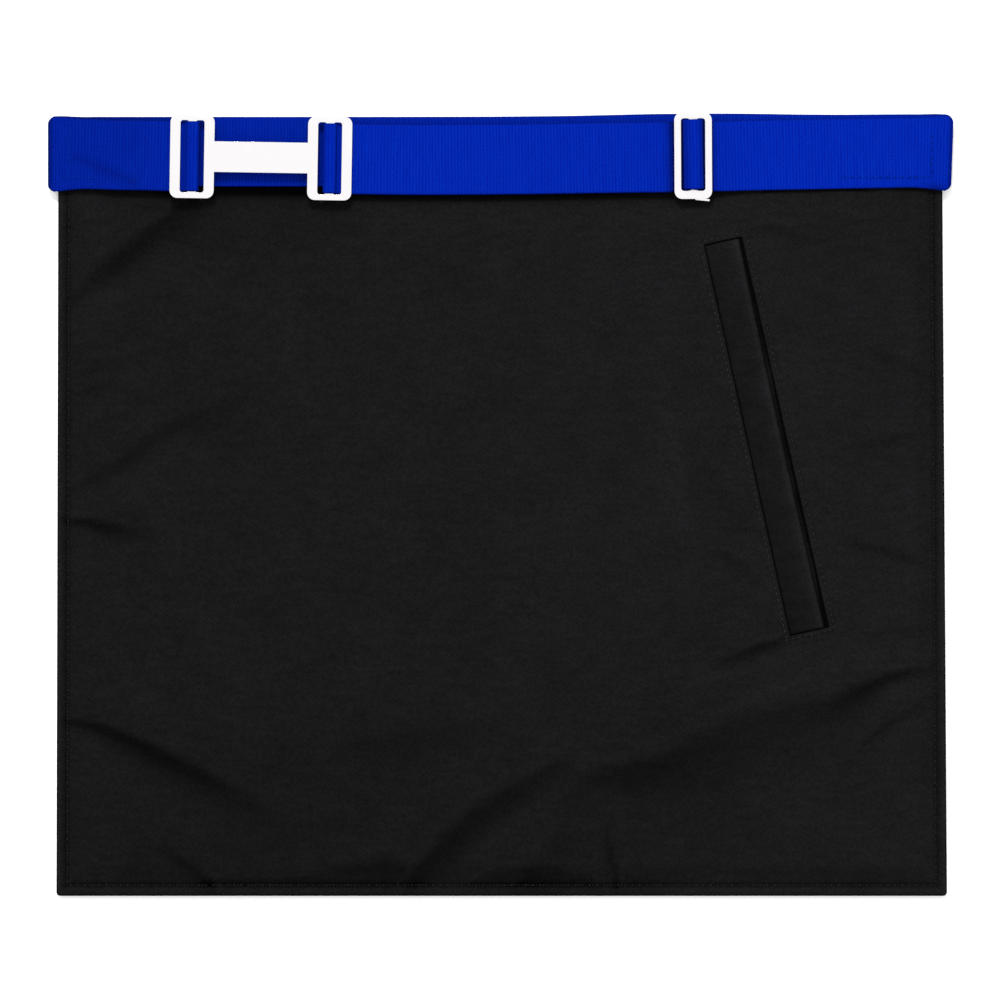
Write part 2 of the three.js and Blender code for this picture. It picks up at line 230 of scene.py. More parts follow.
def blackTwill(name, colour, weave, grain):
    # Woven polyester: matt, with fine crossed diagonals that only just show, and slightly uneven in tone.
    # Where its attribute holds painted shade, in folds and elsewhere, it is darker; where it holds a
    # painted highlight it is lighter. The real diagonals are about 0.4 mm apart, too fine to show in the
    # render, so they are drawn about 1.2 mm apart
    material, add = newMaterial(name)
    place = add("TexCoord").outputs["Object"]
    falling = wovenLines(add, place, 1.24, math.radians(37))
    rising = wovenLines(add, place, 1.17, math.radians(-47))
    crossed = add("Math", {0: falling, 1: rising}, operation="ADD")
    uneven = add("TexNoise", {"Vector": place, "Scale": 1 / (2.6 * mm), "Detail": 2.0})
    cloth = add("Math", {0: crossed, 1: uneven}, operation="MULTIPLY")
    woven = add("Math", {0: cloth, 1: weave, 2: 1.0}, operation="MULTIPLY_ADD")
    shade = add("Math", {0: woven, 1: pressedIn(add)}, operation="MULTIPLY")
    # threads, patches and slubs: size in mm, detail, stretch along the cloth, and change of tone
    for size, detail, stretch, change in ((1.5, 1.0, 1, grain), (22, 3.0, 1, 0.07), (3.2, 2.0, 0.35, 0.1)):
        drawn = add("Mapping", {"Vector": place, "Scale": (stretch, 1, 1)})
        noise = add("TexNoise", {"Vector": drawn, "Scale": 1 / (size * mm), "Detail": detail})
        share = add("MapRange", {
            "Value": noise, "From Min": 0.3, "From Max": 0.7, "To Min": 1 - change, "To Max": 1 + change})
        shade = add("Math", {0: share, 1: shade}, operation="MULTIPLY")
    tinted = add("VectorMath", {0: linear(colour)[:3], "Scale": shade}, operation="SCALE")
    bump = add("Bump", {"Height": cloth, "Strength": 0.4, "Distance": 0.06 * mm})
    shader = add("BsdfPrincipled", {
        "Base Color": tinted, "Roughness": 0.85, "Specular IOR Level": 0.005, "Normal": bump})
    add("OutputMaterial", {"Surface": shader})
    return material


def paintShade(piece, values):
    # Painted shade for the piece, and painted highlight where it is below 0
    shade = piece.data.attributes.new("paintedShade", "FLOAT", "POINT")
    shade.data.foreach_set("value", np.asarray(values, np.float32))


def threadFinish(name, colour, gloss=0.1):
    # Spun polyester thread: matt, a shade off the cloth it is sewn into
    material, add = newMaterial(name)
    place = add("TexCoord").outputs["Object"]
    twist = add("TexNoise", {"Vector": place, "Scale": 1 / (0.35 * mm)})
    tone = add("MixRGB", {
        "Fac": twist, "Color1": linear(colour), "Color2": [c * 0.6 for c in linear(colour)[:3]] + [1]})
    shader = add("BsdfPrincipled", {"Base Color": tone, "Roughness": 0.7, "Specular IOR Level": gloss})
    add("OutputMaterial", {"Surface": shader})
    return material


# The pocket has axes of its own, leaning a little against the body's

pocket = {
    "across": 122.2,        # middle of the mouth
    "above": 211.0,
    "tilt": math.radians(12.4),
    "weltLeft": -8.8,       # the welt's sewn side, from the middle
    "weltRight": 7.1,       # its free edge, at the ends
    "weltOpen": 0.55,       # what the free edge draws back at mid-length
    "weltEnd": 91.35,
    "windowLeft": -9.05,
    "windowRight": 8.8,
    "windowEnd": 91.75,
    "lean": -0.003,         # of the window's right side against the welt
    "stitches": 1.95,       # from the window to the stitches round it
    "stitchesRight": 2.3,
    "bagReach": 32.0,
    "bagMargin": 5.0,
}
windowLeft, windowRight, windowEnd = pocket["windowLeft"], pocket["windowRight"], pocket["windowEnd"]
bagLeft = windowLeft - pocket["bagReach"]
bagRight = windowRight + pocket["bagMargin"]
bagEnd = windowEnd + pocket["bagMargin"]
cosTilt, sinTilt = math.cos(pocket["tilt"]), math.sin(pocket["tilt"])


def toPocket(x, y):
    dx, dy = x - pocket["across"], y - pocket["above"]
    return dx * cosTilt + dy * sinTilt, dy * cosTilt - dx * sinTilt


def fromPocket(u, v):
    return (pocket["across"] + u * cosTilt - v * sinTilt,
            pocket["above"] + u * sinTilt + v * cosTilt)


def sideLean(v):
    # How far the window's right side leans off the pocket's own axis
    return pocket["lean"] * v


def outsideOf(u, v, left, right, end):
    return np.hypot(np.maximum(0, np.maximum(left - u, u - right)),
                    np.maximum(0, np.abs(v) - end))


# The belt's middle lines, as places along it and heights above the hem: the waistband that is
# sewn on, and the strap that is folded back over it
foldAcross = apron["waistWidth"] / 2 + 4.0
bandLine = [(-206.8, 340.2), (-202, 340.9), (-190, 341.5), (-55, 341.5), (-18, 341.56), (0, 341.61),
            (18.4, 341.79), (36.7, 342.02), (55, 342.48), (73.5, 342.89), (103, 343.03), (119, 342.89),
            (138, 342.57), (156, 342.48), (175, 342.62), (193, 342.7), (202, 341.8), (206.8, 340.9)]
strapLine = [(-206.8, 340.12), (-202, 340.42), (-192.9, 340.32), (-183.7, 340.12), (-174.5, 339.62),
             (-165.3, 339.72), (-150, 339.22), (-55.1, 337.72), (-36.7, 337.52), (-18.4, 337.62),
             (0, 337.72), (18.4, 337.92), (36.7, 338.22), (55.1, 338.52), (73.5, 338.72),
             (103.3, 339.27), (119.4, 339.72), (137.8, 340.02), (156.2, 340.42), (174.5, 340.72),
             (192.9, 341.02), (202, 340.52), (206.8, 340.82)]
strapHalf = 16.0


def alongLine(line, x):
    return sum(fromTable(line, x + shift) for shift in (-4, 0, 4)) / 3


# How far the strap's shadow reaches down the lining
shadowReach = [(-206, 1.1), (-165, 1.6), (-150, 2.6), (92, 2.6), (112, 0.8), (206, 0.6)]


# Lining

lining = {
    "base": 1.8,            # level of its underside where it lies on the front panel
    "cloth": 0.8,
    "overBag": 3.1,         # level of its underside on the pocket bag
    "slack": 2.6,           # how far the loose lining puffs up
    "step": 2.12,
    "hemStitch": 5.0,       # from the edge to the hem's stitches
    "hemWide": 9.0,
    "rim": 1.2,             # where the sheet thins out towards its edge
    "foldDepth": 3.9,       # of a fold pressed right in
    "pressed": 0.8,         # how much darker painted shade makes such a fold
    "sharpSide": 0.9,       # of a fold's half width, above it
    "slowSide": 1.9,        # and below it, where it flattens out slowly
    "colour": "#101011",
}

# Upper side of the hem, from the edge inwards: distance and level
hemProfile = [
    (0.0, 1.72), (0.12, 2.2), (0.35, 2.65), (0.7, 2.95), (1.2, 3.12), (1.9, 3.15), (2.7, 3.05),
    (3.5, 2.85), (4.2, 2.6), (4.7, 2.42), (5.0, 2.36), (5.35, 2.5), (5.8, 2.8), (6.5, 3.1), (7.6, 3.35),
    (9.0, 3.6),
]

# Painted shade on the hem from its edge inwards, and painted highlight where it is below 0: its turned
# edge, and the dip at its stitches; first at the sides, then along the lower end
hemShade = [(0, 0.95), (0.4, 0.85), (0.6, -0.2), (0.9, -0.45), (1.3, -0.25), (2.2, -0.05), (3.6, 0.24),
            (4.4, 0.46), (5.2, 0.44), (5.7, 0.15), (6.5, 0.04), (9, 0)]
hemEndShade = [(0, 0.95), (0.4, 0.85), (0.6, 0.1), (1.0, -0.02), (2.0, -0.12), (3.2, -0.18), (3.8, -0.1),
               (4.3, 0.35), (4.8, 0.46), (5.3, 0.42), (6.2, 0.2), (7.6, 0.06), (9, 0)]

# Folds of the loose lining. Each point has its place and the fold's half width there in mm, and how deep it
# is pressed in, from 0 to 1, which also sets its painted shade; below 0 it is a ridge, lighter by painted
# highlight
folds = [
    [(-170, 15, 50, 0.1), (-110, 45, 40, 0.14), (-60, 55, 30, 0.12), (-20, 60, 24, 0.05)],
    [(-190, 268, 5, -0.1), (-175, 278, 6, -0.16), (-160, 292, 6, -0.12), (-150, 306, 5, 0)],
    [(-192, 180, 5, -0.1), (-172, 190, 6, -0.16), (-150, 205, 6, -0.12), (-130, 212, 6, 0)],
    [(-150, 318, 12, 0.2), (-115, 312, 10, 0.2), (-75, 314, 9, 0.14)],
    [(30, 45, 16, 0.12), (70, 62, 20, 0.13), (112, 84, 14, 0.06)],
    [(125, 36, 24, -0.05), (170, 36, 28, -0.06)],
    [(192, 305, 24, -0.08), (194, 160, 24, -0.09), (194, 20, 24, -0.07)],
    [(110, 300, 70, -0.16), (140, 200, 80, -0.18), (185, 90, 60, -0.16)],
    [(-201.2, 173.4, 1.4, 0.5), (-196.1, 172.5, 1.4, 0.75), (-188.3, 171.1, 1.8, 0.8),
     (-178.2, 168.3, 2.4, 0.68), (-169.9, 166.5, 2.3, 0.35), (-159.8, 167.4, 2.3, 0.15),
     (-149.3, 166, 3.7, 0)],
    [(-201.2, 81.5, 1.4, 0.4), (-194.3, 79.7, 1.8, 0.72), (-183.7, 77.4, 2.4, 0.82),
     (-169.9, 71.4, 3.3, 0.8), (-153.9, 63.6, 3.8, 0.74), (-137.8, 55.3, 4.1, 0.6),
     (-126.3, 48.5, 4.1, 0.48), (-114.8, 41.6, 4.6, 0.3), (-101, 32.4, 5.5, 0.15), (-85, 23.2, 6.4, 0)],
    [(-197.5, 272.1, 2.3, 0.15), (-192.9, 276.7, 2.8, 0.3), (-183.7, 284.1, 4.1, 0.48),
     (-173.2, 293.3, 5.1, 0.55), (-162.1, 301.1, 4.6, 0.5), (-154.8, 307, 4.1, 0.42),
     (-145.6, 316.7, 3.7, 0.4)],
    [(-196.6, 185.3, 2.3, 0.1), (-189.7, 189.5, 2.8, 0.28), (-175.9, 196.8, 3.2, 0.3),
     (-162.1, 207.8, 3.7, 0.32), (-148.4, 215.2, 4.1, 0.34), (-136.4, 218.4, 4.6, 0.3),
     (-124, 226.2, 4.1, 0.2), (-112.5, 231.3, 3.7, 0)],
    [(-41.3, 4.4, 3.2, 0.3), (-34.4, 12.6, 4.6, 0.5), (-23, 24.6, 6, 0.56), (-9.2, 37, 6, 0.56),
     (6.9, 47.1, 4.6, 0.45), (25.3, 59, 3.2, 0.3), (36.7, 66.8, 2.3, 0)],
    [(-30.3, 4.4, 3.2, -0.1), (-4.6, 24.6, 4.1, -0.16), (20.7, 42.5, 4.1, -0.14),
     (41.3, 57.6, 4.1, -0.05)],
    [(199.3, 105, 1.3, 0.3), (192.4, 103.1, 1.7, 0.58), (178.2, 100.4, 2.2, 0.78),
     (166.3, 94.4, 3.2, 0.72), (151.1, 86.1, 5.2, 0.46), (136, 82.9, 7.4, 0.32), (120.8, 79.7, 8.8, 0.32),
     (105.6, 72.3, 9.4, 0.34), (90.5, 64.5, 9.0, 0.42), (75.3, 58.6, 7.8, 0.46), (60.6, 55.8, 6, 0.46),
     (48.2, 55.3, 5.1, 0.4), (39, 52.1, 3.7, 0.2), (34, 43.9, 4.1, 0.1), (32.2, 37, 4.1, 0)],
    [(87.3, 79.7, 3.7, -0.05), (98.3, 83.8, 3.7, -0.14), (119.4, 92.1, 3.7, -0.16),
     (141.9, 100.8, 3.7, -0.16), (160.8, 106.8, 3.7, -0.12), (186, 112.8, 3.7, -0.06)],
    [(47.8, 35.6, 1.1, 0.1), (50.5, 23.2, 1.4, 0.4), (53.3, 11.7, 1.5, 0.5), (53.7, 4.4, 1.4, 0.5)],
    [(58.8, 5.3, 6.4, 0.35), (66.6, 5.3, 7.3, 0.25), (77.2, 4.4, 6.4, 0.08)],
    [(-131.8, 4.4, 2.3, 0.45), (-138.7, 10.8, 2.3, 0.5), (-147, 16.3, 2.3, 0.4),
     (-154.8, 21.8, 1.8, 0.1)],
    [(-135.5, 7.1, 1.6, 0.25), (-91.9, 7.1, 2.3, 0.35), (-71.2, 9.9, 5.5, 0.42), (-52.8, 12.6, 7.3, 0.5),
     (-42.3, 9.9, 4.6, 0.4)],
    [(-13.8, 5.3, 1.8, 0.3), (0, 8, 4.6, 0.5), (13.8, 9, 5.5, 0.5), (27.6, 9, 5.1, 0.5),
     (41.3, 6.2, 2.8, 0.4)],
    [(13.8, 10.8, 5.5, 0.25), (25.7, 20.9, 5.1, 0.3), (33.1, 30.1, 3.7, 0.1)],
    [(-80.4, 65.9, 3.7, 0), (-64.3, 69.1, 4.6, 0.22), (-32.2, 72.3, 5.5, 0.22), (-9.2, 76.9, 4.6, 0.18),
     (11.5, 79.7, 3.7, 0)],
    [(197.5, 151.3, 1.4, 0.2), (192, 153.2, 1.6, 0.35), (179.1, 157.8, 1.8, 0.38), (165.3, 161, 1.8, 0.3),
     (155.2, 163.3, 1.8, 0.1)],
    [(198.4, 91.6, 1.4, 0.2), (192, 87.5, 1.8, 0.3), (179.6, 79.7, 2.1, 0.28), (169, 71, 2.1, 0.25),
     (159.8, 62.2, 2.3, 0.05)],
    [(198.4, 120.1, 1.4, 0.1), (190.6, 121.5, 1.8, 0.22), (179.1, 121, 1.8, 0.2),
     (166.3, 118.7, 1.8, 0.1)],
    [(196.6, 240, 1.4, 0.15), (186, 243.7, 1.8, 0.22), (174.5, 248.3, 1.8, 0.2), (163.1, 251.5, 1.8, 0)],
    [(198.4, 213.8, 1.4, 0.1), (186, 210.6, 2.3, 0.22), (169.9, 206.9, 3.2, 0.22),
     (153.9, 202.8, 3.2, 0.05)],
    [(112.1, 306.1, 1.4, 0.1), (121.7, 305.7, 1.8, 0.3), (130.9, 304.3, 2.3, 0.22),
     (144.7, 300.6, 2.8, 0.1), (165.3, 293.7, 2.8, 0)],
    [(160.8, 292.8, 2.8, -0.05), (174.5, 288.2, 2.8, -0.18), (186, 285, 2.8, -0.18),
     (196.6, 281.8, 2.3, -0.1)],
    [(133.2, 119.6, 1.4, 0.25), (126.3, 116.4, 1.8, 0.62), (118, 113.2, 2.3, 0.62),
     (105.6, 107.7, 2.3, 0.35), (95.5, 105.4, 2.3, 0.05)],
    [(90, 98.1, 1.8, -0.05), (101, 102.2, 2.1, -0.18), (119.4, 108.2, 2.1, -0.18),
     (134.1, 111.8, 2.1, -0.08)],
    [(97.4, 158.7, 1.8, 0.1), (104.7, 154.1, 2.3, 0.28), (112.5, 149, 2.3, 0.3), (119.4, 144, 1.8, 0.15)],
    [(72.6, 240.4, 3.7, -0.05), (77.2, 223, 4.1, -0.14), (81.8, 203.7, 4.1, -0.22),
     (84.5, 183.9, 4.1, -0.26), (87.3, 165.6, 4.1, -0.18), (91.9, 145.8, 3.7, -0.05)],
    [(94.6, 195.4, 3.7, 0.1), (99.2, 186.2, 3.7, 0.18), (107.9, 176.1, 3.7, 0.1)],
    [(-196.6, 231.7, 1.4, 0.2), (-188.3, 232.2, 1.8, 0.3), (-180, 234, 2.3, 0.15),
     (-172.2, 236.8, 2.8, 0)],
    [(-192.9, 240.4, 3.2, 0.1), (-179.1, 243.2, 3.7, 0.14), (-165.3, 246.9, 3.7, 0)],
    [(155.2, 4.4, 5.5, 0.1), (166.3, 7.1, 7.3, 0.28), (176.8, 4.4, 5.5, 0.1)],
    [(-173.6, 7.1, 2.8, 0.1), (-167.6, 12.6, 4.1, 0.25), (-165.3, 20.9, 3.2, 0.05)],
]


def foldAt(line, x, y):
    points = np.asarray(line, float)
    nearest = np.full(x.shape, 1e9)
    strength = np.zeros(x.shape)
    for start, end in zip(points[:-1], points[1:]):
        run = end - start
        share = np.clip(((x - start[0]) * run[0] + (y - start[1]) * run[1])
                        / (run[0] ** 2 + run[1] ** 2), 0, 1)
        away = np.hypot(x - start[0] - share * run[0], y - start[1] - share * run[1])
        wide = start[2] + share * run[2]
        above = (run[0] * (y - start[1]) - run[1] * (x - start[0])) * (1 if run[0] > 0 else -1) > 0
        here = np.where(above, away / (lining["sharpSide"] * wide), -away / (lining["slowSide"] * wide))
        here = np.minimum(here, 9)
        closer = np.abs(here) < np.abs(nearest)
        nearest = np.where(closer, here, nearest)
        strength = np.where(closer, start[3] + share * run[3], strength)
    return nearest, strength


def softNoise(x, y, wavelength, seed, count=9):
    random = np.random.default_rng(seed)
    total = np.zeros(np.shape(x))
    for _ in range(count):
        angle, phase = random.uniform(0, 2 * math.pi, 2)
        length = wavelength * random.uniform(0.7, 1.5)
        total = total + np.sin((x * math.cos(angle) + y * math.sin(angle)) * 2 * math.pi / length + phase)
    return total / math.sqrt(count)


def liningLevels(x, y):
    fromSide = halfWidth(y) - np.abs(x - middleLine(y))
    fromHem = np.maximum(0, np.minimum(fromSide, y))
    u, v = toPocket(x, y)
    leaned = sideLean(v) * (u > 0) * (1 - ease(1, 40, u - windowRight))
    fromWindow = outsideOf(u - leaned, v, windowLeft, windowRight, windowEnd)
    fromStitches = fromWindow - np.where(u > windowRight, pocket["stitchesRight"], pocket["stitches"])
    belowBelt = apron["beltEdge"] - y
    belowStrap = alongLine(strapLine, x) - strapHalf - y
    free = ease(0, 14, belowBelt) * ease(6, 14, fromHem)
    puff = lining["slack"] * ease(0, 14, fromStitches)
    puff = puff + 0.22 * softNoise(x, y, 48, 5) * ease(2, 20, fromStitches)
    dark = np.zeros(x.shape)
    for line in folds:
        away, strength = foldAt(line, x, y)
        shape = np.exp(-np.abs(away) ** 1.8)
        lit = np.exp(-((away - 1.5) / 0.6) ** 2)
        puff = puff - lining["foldDepth"] * strength * shape
        # painted shade down the fold, and a painted highlight along its upper side
        dark = dark + lining["pressed"] * strength * (shape - 0.3 * lit)
    plain = lining["base"] + lining["cloth"]
    overBag = lining["overBag"] - lining["base"]
    fromBag = outsideOf(u, v, bagLeft, bagRight, bagEnd)
    bagLift = overBag * ease(0, 5, belowBelt) * (1 - ease(3, 18, fromBag))
    # it stands up a little along the strap, right of the slide
    nearStrap = 1.2 * ease(95, 125, x) * ease(-1, 1.5, belowStrap) * ease(6, 14, fromHem)
    level = plain + 0.2 + np.maximum(np.maximum(puff * free, bagLift), nearStrap)
    # the hem's own profile, puckered by its stitches
    along = np.where(fromSide < y, y, x + 500)
    random = np.random.default_rng(11)
    knots = np.arange(0, 1000, 3.4)
    pucker = np.interp(along, knots, random.uniform(-1, 1, knots.size))
    waver = np.interp(along, knots, random.uniform(-1, 1, knots.size))
    hem = fromTable(hemProfile, fromHem)
    nearStitch = np.exp(-((fromHem - lining["hemStitch"] - 0.5 * waver) / 2.4) ** 2)
    hem = hem + 0.22 * pucker * nearStitch * ease(0.6, 2.5, fromHem)
    inside = ease(6.5, lining["hemWide"], fromHem)
    atHem = hem * (1 - inside) + np.maximum(level, hem) * inside
    level = np.where(fromHem < lining["hemWide"], atHem, level)
    under = 1 - ease(-2, 2, belowBelt + 3 * ease(95, 125, x))   # flat under the belt
    level = level * (1 - under) + (plain + 0.1) * under
    # round the pocket's window: stitches, then the edge turned in
    atStitch = np.exp(-(fromStitches / 0.6) ** 2)
    level = level - 0.3 * atStitch * (fromWindow > 0)
    roll = 1 - ease(0, 0.8, fromWindow)
    level = level - 0.7 * roll ** 1.6
    # painted shade at the stitches round the window, more on its right, and on the edge turned in; a
    # painted highlight just beyond that edge
    dark = dark + (0.06 + 0.16 * (u > 0)) * atStitch + 0.4 * roll ** 2
    dark = dark - 0.12 * np.exp(-((fromWindow - 0.95) / 0.35) ** 2)
    # painted shade and painted highlight along the hem
    sideShade = fromTable(hemShade, fromHem)
    endShade = fromTable(hemEndShade, fromHem)
    dark = dark + np.where(fromSide < y, sideShade, endShade)
    # painted shadow below the strap
    reach = fromTable(shadowReach, x)
    dark = dark + 0.95 * np.exp(-(np.maximum(0, belowStrap) / reach) ** 1.3)
    lowest = np.where(fromBag < 1.0, lining["overBag"], lining["base"] - 0.08)
    level = np.maximum(level, np.where(fromHem < lining["rim"], 0, lowest + 0.35))
    return level, np.clip(dark, -0.45, 0.95), lowest, fromHem


def liningStops():
    # The lining's grid, finer along the hem and round the pocket's window
    hem = [e for e, _ in hemProfile]
    near = [0.0, 0.2, 0.45, 0.8, 1.15, 1.55, 1.95, 2.4, 3.0, 3.9, 5.2]

    def fill(start, end):
        count = max(1, round((end - start) / lining["step"]))
        return list(np.linspace(start, end, count + 1))[1:-1]

    half = apron["hemWidth"] / 2
    left, right = pocket["across"] + windowLeft, pocket["across"] + windowRight
    outer = [-half + e for e in hem]
    leftOf = [left - e for e in reversed(near)]
    rightOf = [right + e for e in near]
    across = (outer + fill(outer[-1], leftOf[0]) + leftOf + fill(left, right) + rightOf
              + fill(rightOf[-1], half - hem[-1]) + [half - e for e in reversed(hem)])
    low, high = pocket["above"] - windowEnd, pocket["above"] + windowEnd
    below = [low - e for e in reversed(near)]
    over = [high + e for e in near]
    edge = apron["beltEdge"]
    above = (hem + fill(hem[-1], below[0]) + below + fill(low, high) + over + fill(over[-1], edge)
             + list(np.linspace(edge, apron["height"], 8)))
    return np.array(across), np.array(above), left, right, low, high


def makeLining():
    across, above, left, right, low, high = liningStops()
    x0, y0 = np.meshgrid(across, above)
    dx, dy = x0 - pocket["across"], y0 - pocket["above"]
    turn = (1 - ease(16, 70, np.abs(dx))) * (1 - ease(97, 134, dy)) * (1 - ease(97, 190, -dy))
    x1 = (middleLine(y0) + x0 / (apron["hemWidth"] / 2) * halfWidth(y0)) * (1 - turn) + x0 * turn
    leaned = sideLean(dy) * (1 - ease(1, 40, dx - windowRight)) * (dx > windowRight - 0.01)
    dx = x1 - pocket["across"] + leaned * turn
    angle = pocket["tilt"] * turn
    x = pocket["across"] + dx * np.cos(angle) - dy * np.sin(angle)
    y = pocket["above"] + dx * np.sin(angle) + dy * np.cos(angle)
    # the hem's corners are rounded off
    radius = apron["corner"]
    for side in (-1, 1):
        centreX = middleLine(0) + side * (apron["hemWidth"] / 2 - radius)
        outX, outY = (x - centreX) * side, radius - y
        reach = np.maximum(np.maximum(outX, outY), 1e-6)
        inCorner = (outX > 0) & (outY > 0)
        pull = np.where(inCorner, reach / np.hypot(outX, outY), 1)
        x = np.where(inCorner, centreX + side * outX * pull, x)
        y = np.where(inCorner, radius - outY * pull, y)
    top, dark, lowest, fromHem = liningLevels(x, y)
    thin = np.where(fromHem < lining["rim"], 0.05 + 0.75 * fromHem / lining["rim"], lining["cloth"])
    bottom = np.clip(top - thin, np.minimum(lowest, top - 0.02), None)
    rows, columns = x.shape
    layer = rows * columns
    points = np.concatenate([
        np.stack([x, y, bottom], -1).reshape(-1, 3), np.stack([x, y, top], -1).reshape(-1, 3)])
    cellX = (across[:-1] + across[1:]) / 2
    cellY = (above[:-1] + above[1:]) / 2
    isHole = np.zeros((rows - 1, columns - 1), bool)
    isHole[np.ix_((cellY > low) & (cellY < high), (cellX > left) & (cellX < right))] = True
    isOpen = np.pad(isHole, 1, constant_values=True)
    faces = []      # both sides of each cell, and a wall wherever the next cell is open
    for row, column in zip(*np.where(~isHole)):
        a = row * columns + column
        b, c, d = a + 1, a + columns + 1, a + columns
        faces += [(a, d, c, b), (layer + a, layer + b, layer + c, layer + d)]
        for rowStep, columnStep, start, end in ((0, 1, a, b), (2, 1, c, d), (1, 0, d, a), (1, 2, b, c)):
            if isOpen[row + rowStep, column + columnStep]:
                faces.append((start, end, layer + end, layer + start))
    piece = meshPiece("liningCloth", points, faces)
    paintShade(piece, np.concatenate([np.zeros(layer), dark.ravel()]))
    dress(piece, blackTwill("blackPolyesterTwill", lining["colour"], 0.3, 0.17))
    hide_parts("lining")
    return piece


# Flat sheets: the front panel and the pocket's bag

front = {"thick": 1.5, "edge": 0.5, "colour": "#121213"}
# The bag's colour is darker than the other cloth's: painted shade for the deep pocket seen through the slit
bag = {"level": 1.8, "thick": 1.0, "edge": 0.35, "colour": "#040404",
       "lipFrom": 5.6, "lipTo": 8.05, "lipThick": 0.7}


def flatSheet(name, outline, level, thick, edge):
    # The outline goes once round the sheet, and its edge is rounded over
    outline = np.asarray(outline, float)
    after = np.roll(outline, -1, 0) - outline
    before = outline - np.roll(outline, 1, 0)
    after /= np.hypot(*after.T)[:, None]
    before /= np.hypot(*before.T)[:, None]
    inward = np.stack([-(after + before)[:, 1], (after + before)[:, 0]], 1)
    inward /= np.hypot(*inward.T)[:, None]
    scale = 1 / np.maximum(0.5, (inward * np.stack([-after[:, 1], after[:, 0]], 1)).sum(1))
    inward *= scale[:, None]
    profile = []
    for i in range(7):
        angle = math.pi * i / 6
        profile.append((edge * (1 - math.sin(angle)), level + thick / 2 - math.cos(angle) * thick / 2))
    points = [(*p, height) for inset, height in profile for p in outline + inward * inset]
    piece = meshPiece(name, points, tubeFaces(len(profile), len(outline)))
    bpy.ops.object.mode_set(mode="EDIT")
    bpy.ops.mesh.select_all(action="SELECT")
    bpy.ops.mesh.quads_convert_to_tris()
    bpy.ops.object.mode_set(mode="OBJECT")
    bpy.ops.object.shade_smooth_by_angle(angle=math.radians(35))
    return piece


def cornerArc(x, y, radius, start):
    steps = 6
    return [(x + radius * math.cos(start + math.pi / 2 * i / steps),
             y + radius * math.sin(start + math.pi / 2 * i / steps)) for i in range(steps + 1)]


def addLip(inner):
    # The bag's own turned edge, which shows in the slit as a thin paler line: its attribute lightens it as
    # painted light against the bag's painted shade, fading out towards its upper end and uneven along it
    points, paint = [], []
    random = np.random.default_rng(8)
    stops = np.linspace(-87, 87, 88)
    waver = np.convolve(random.normal(0, 0.5, stops.size), np.ones(9) / 9, "same")
    top, back, high = bag["level"] + bag["thick"] - 0.02, bag["lipFrom"], bag["lipThick"]
    for v, shift in zip(stops, waver):
        near = bag["lipTo"] + shift - 1.1 * (ease(50, 85, v) + ease(80, 91, -v))
        for u, z in ((back, 0), (near - 0.1, 0), (near, high / 2), (near - 0.2, high), (back, high * 0.6)):
            points.append((*fromPocket(u, v), top + z))
            paint.append(-1.5 * (1 - ease(25, 55, v)) - 2 * shift)
    lip = meshPiece("pocketLip", points, tubeFaces(stops.size, 5))
    paintShade(lip, paint)
    turnOutwards()
    selectOnly(lip, inner)
    bpy.ops.object.join()


def makeFlatSheets():
    shift, half, radius = apron["hemShift"], apron["hemWidth"] / 2, apron["corner"]
    waist, top = apron["waistWidth"] / 2, apron["height"]
    outline = (cornerArc(shift - half + radius, radius, radius, math.pi)
               + cornerArc(shift + half - radius, radius, radius, math.pi * 1.5)
               + [(waist, top), (-waist, top)])
    panel = flatSheet("frontPanel", outline, 0.0, front["thick"], front["edge"])
    dress(panel, blackTwill("blackFrontCloth", front["colour"], 0.3, 0.15))
    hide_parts("front_panel")
    corners = [(bagLeft, -bagEnd), (bagRight, -bagEnd), (bagRight, bagEnd), (bagLeft, bagEnd)]
    inner = flatSheet("pocketBag", [fromPocket(u, v) for u, v in corners],
                      bag["level"], bag["thick"], bag["edge"])
    addLip(inner)
    dress(inner, blackTwill("blackPocketingPaintedShade", bag["colour"], 0.3, 0.15))
    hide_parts("pocket_bag")


# Pocket welt

welt = {"level": 3.12, "thick": 1.3, "crown": 0.2, "colour": "#0f0f10"}
# Painted shade on the welt, and painted highlight where it is below 0, from its sewn side to its pressed
# fold
weltShade = [(-8.8, 0.4), (-8.5, 0.15), (-8.0, 0.12), (-7.3, 0.1), (-5, 0.07), (-3, 0.0), (0, -0.03),
             (2, -0.12), (3.5, -0.2), (4.5, -0.32), (5.5, -0.68), (6.1, -0.58), (6.6, -0.05), (7.1, 0.4)]
# Where it is dented across: place along it, half width, and how deep, which is also how much darker by
# painted shade
weltDents = [(31, 1.6, 0.14), (-6, 2.5, 0.08), (-36, 2.2, 0.09), (58, 3.0, 0.05), (-80, 9.0, 0.14)]


